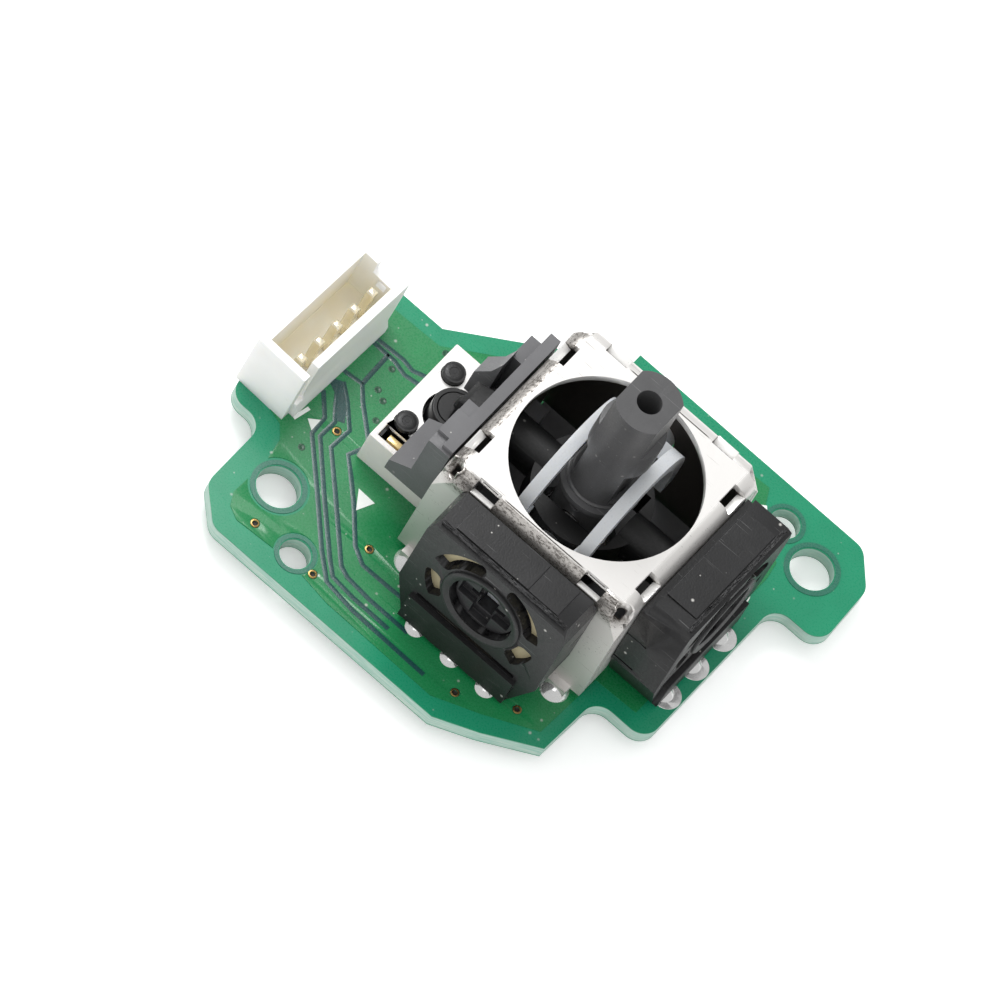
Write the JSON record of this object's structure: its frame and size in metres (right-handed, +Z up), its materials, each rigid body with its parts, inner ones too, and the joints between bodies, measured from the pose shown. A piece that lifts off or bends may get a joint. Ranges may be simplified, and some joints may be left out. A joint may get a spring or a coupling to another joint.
{
  "type": "controller analog stick",
  "caption": "Two axis thumb stick module on a green circuit board, with potentiometers, a push switch and a cable socket.",
  "frame": {"origin": "midway between the board's two screw holes, on the board's underside", "axes": "+Z up through the board towards the stick's tip; +X along the board's long way, away from the cable socket; +Y towards the board's wide screw ear"},
  "size_m": [0.0329, 0.0257, 0.0199],
  "materials": {
    "solder_mask": "green solder mask over copper, glossy",
    "frame_nickel": "bright nickel plated sheet, mottled at the bends",
    "solder": "bright tin solder",
    "yoke_plastic": "black moulded, satin",
    "pin_steel": "drawn wire",
    "arch_plastic": "natural translucent white, moulded",
    "stick_plastic": "dark grey moulded, satin",
    "seat_plastic": "black moulded",
    "spring_steel": "drawn spring wire",
    "holder_plastic": "grey moulded, satin",
    "switch_white": "off-white moulded",
    "switch_black": "black moulded",
    "switch_steel": "bright stamped sheet",
    "switch_brass": "bare stamped brass",
    "tinned_lead": "tinned, dull",
    "socket_nylon": "white moulded",
    "socket_pin_tin": "tinned square wire",
    "pot_plastic": "black moulded, dusty and lightly scratched",
    "wafer_laminate": "tan paper laminate",
    "rotor_plastic": "dark grey moulded",
    "wiper_brass": "stamped sheet"
  },
  "bodies": {
    "root": {"circuit_board": "solder_mask", "metal_frame": "frame_nickel", "frame_solder": "solder", "spring_seat": "seat_plastic", "return_spring": "spring_steel", "base_holder": "holder_plastic", "switch_case": "switch_white", "switch_insert": "switch_black", "switch_plate": "switch_steel", "switch_dome": "switch_steel", "switch_contact": "switch_brass", "switch_terminal_1": "tinned_lead", "switch_terminal_2": "tinned_lead", "switch_solder": "solder", "socket_housing": "socket_nylon", "socket_solder": "solder", "socket_pin_1": "socket_pin_tin", "socket_pin_2": "socket_pin_tin", "socket_pin_3": "socket_pin_tin", "socket_pin_4": "socket_pin_tin", "socket_pin_5": "socket_pin_tin", "x_pot_cover": "pot_plastic", "x_pot_wafer": "wafer_laminate", "x_pot_terminal_1": "tinned_lead", "x_pot_terminal_2": "tinned_lead", "x_pot_terminal_3": "tinned_lead", "x_pot_solder": "solder", "y_pot_cover": "pot_plastic", "y_pot_wafer": "wafer_laminate", "y_pot_terminal_1": "tinned_lead", "y_pot_terminal_2": "tinned_lead", "y_pot_terminal_3": "tinned_lead", "y_pot_solder": "solder"},
    "y_rotor": {"y_pot_rotor": "rotor_plastic", "y_pot_wiper": "wiper_brass"},
    "yoke": {"lower_yoke": "yoke_plastic", "cross_pin": "pin_steel"},
    "stick": {"stick": "stick_plastic"},
    "arch": {"upper_yoke": "arch_plastic", "x_pot_rotor": "rotor_plastic", "x_pot_wiper": "wiper_brass"},
    "stem": {"switch_stem": "switch_black"}
  },
  "joints": [
    {"name": "tilt_about_x", "type": "hinge", "parent": "root", "child": "y_rotor", "pos_m": [0.00114, -0.00045, 0.007], "axis": [1, 0, 0], "range_deg": [-20, 20], "stiffness_Nm_per_rad": 0.02},
    {"name": "stick_press", "type": "hinge", "parent": "y_rotor", "child": "yoke", "pos_m": [0.00904, -0.00045, 0.007], "axis": [0, -1, 0], "range_deg": [0, 1.2], "stiffness_Nm_per_rad": 1, "deforming": ["return_spring"]},
    {"name": "tilt_about_y", "type": "hinge", "parent": "yoke", "child": "stick", "pos_m": [0.00114, -0.00045, 0.007], "axis": [0, 1, 0], "range_deg": [-20, 20], "stiffness_Nm_per_rad": 0.02},
    {"name": "arch_turn", "type": "hinge", "parent": "root", "child": "arch", "pos_m": [0.00114, -0.00045, 0.007], "axis": [0, 1, 0], "range_deg": [-20, 20]},
    {"name": "switch_press", "type": "slide", "parent": "root", "child": "stem", "axis": [0, 0, -1], "range_m": [0, 0.00036]}
  ],
  "couplings": [
    {"joint": "arch_turn", "follows": "tilt_about_y", "ratio": 1},
    {"joint": "switch_press", "follows": "stick_press", "m_per_rad": 0.01665}
  ]
}
